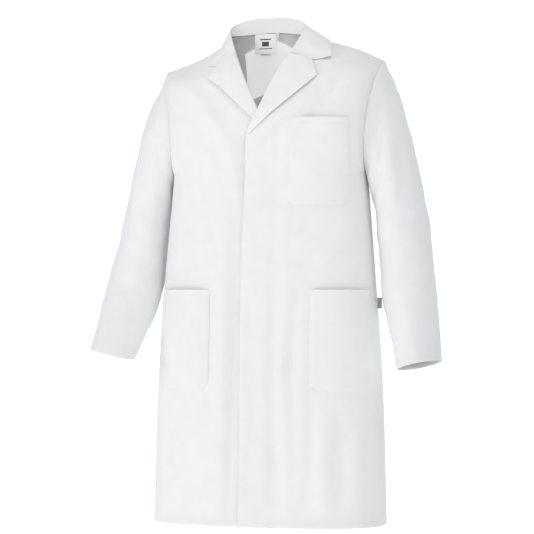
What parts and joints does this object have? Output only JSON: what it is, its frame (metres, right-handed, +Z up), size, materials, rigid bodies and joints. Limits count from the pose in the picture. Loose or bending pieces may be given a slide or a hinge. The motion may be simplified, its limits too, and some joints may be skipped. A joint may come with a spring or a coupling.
{
  "type": "laboratory coat",
  "caption": "Knee-length white woven laboratory coat with notched collar, concealed press-stud fly, chest and skirt pockets and open cuffs",
  "frame": {"origin": "at the hanger loop on the inside of the nape seam, in the coat's middle plane", "axes": "+Z up towards the collar, -Y out of the front, +X to the wearer's left"},
  "size_m": [0.737, 0.2568, 1.0634],
  "materials": {
    "coat_cloth": "matte tightly woven cotton and polyester twill, pressed",
    "label_ribbon": "smooth woven satin ribbon, plain",
    "side_tab": "matte grey woven tape",
    "press_stud": "satin nickel-plated"
  },
  "bodies": {
    "body": {"back_left_panel": "coat_cloth", "back_right_panel": "coat_cloth", "back_vent_underlap": "coat_cloth", "back_neck_facing": "coat_cloth", "back_left_hem": "coat_cloth", "back_right_hem": "coat_cloth", "front_left_panel": "coat_cloth", "front_right_panel": "coat_cloth", "front_left_hem": "coat_cloth", "front_right_hem": "coat_cloth", "fly_upper": "coat_cloth", "facing_upper": "coat_cloth", "lapel_left": "coat_cloth", "lapel_right": "coat_cloth", "collar_fall": "coat_cloth", "collar_stand": "coat_cloth", "chest_pocket": "coat_cloth", "skirt_pocket_left": "coat_cloth", "skirt_pocket_right": "coat_cloth", "hanger_loop": "coat_cloth", "neck_label": "label_ribbon", "size_label": "label_ribbon", "side_seam_tab": "side_tab", "stud_socket_1": "press_stud", "stud_post_1": "press_stud", "stud_post_2": "press_stud", "stud_post_3": "press_stud"},
    "front_flap_left": {"front_left_flap": "coat_cloth", "fly_lower": "coat_cloth", "flap_left_hem": "coat_cloth", "stud_socket_2": "press_stud", "stud_socket_3": "press_stud", "stud_socket_4": "press_stud", "stud_socket_5": "press_stud"},
    "front_flap_right": {"front_right_flap": "coat_cloth", "facing_lower": "coat_cloth", "flap_right_hem": "coat_cloth", "stud_post_4": "press_stud", "stud_post_5": "press_stud"},
    "arm_left": {"top_sleeve_left": "coat_cloth", "under_sleeve_left": "coat_cloth", "cuff_hem_left": "coat_cloth"},
    "arm_right": {"top_sleeve_right": "coat_cloth", "under_sleeve_right": "coat_cloth", "cuff_hem_right": "coat_cloth"}
  },
  "joints": [
    {"name": "front_left_open", "type": "hinge", "parent": "body", "child": "front_flap_left", "pos_m": [-0.028, -0.145, -0.3], "axis": [-0.2305, 0.0193, 0.9729], "range_deg": [0, 110]},
    {"name": "front_right_open", "type": "hinge", "parent": "body", "child": "front_flap_right", "pos_m": [0.028, -0.1442, -0.6], "axis": [-0.3732, -0.0192, -0.9276], "range_deg": [0, 66]},
    {"name": "sleeve_left_raise", "type": "hinge", "parent": "body", "child": "arm_left", "pos_m": [0.235, -0.016, -0.0675], "axis": [0, -1, 0], "range_deg": [0, 70]},
    {"name": "sleeve_right_raise", "type": "hinge", "parent": "body", "child": "arm_right", "pos_m": [-0.235, -0.016, -0.0675], "axis": [0, 1, 0], "range_deg": [0, 70]}
  ],
  "couplings": [
    {"joint": "front_right_open", "follows": "front_left_open", "ratio": 0.6}
  ]
}
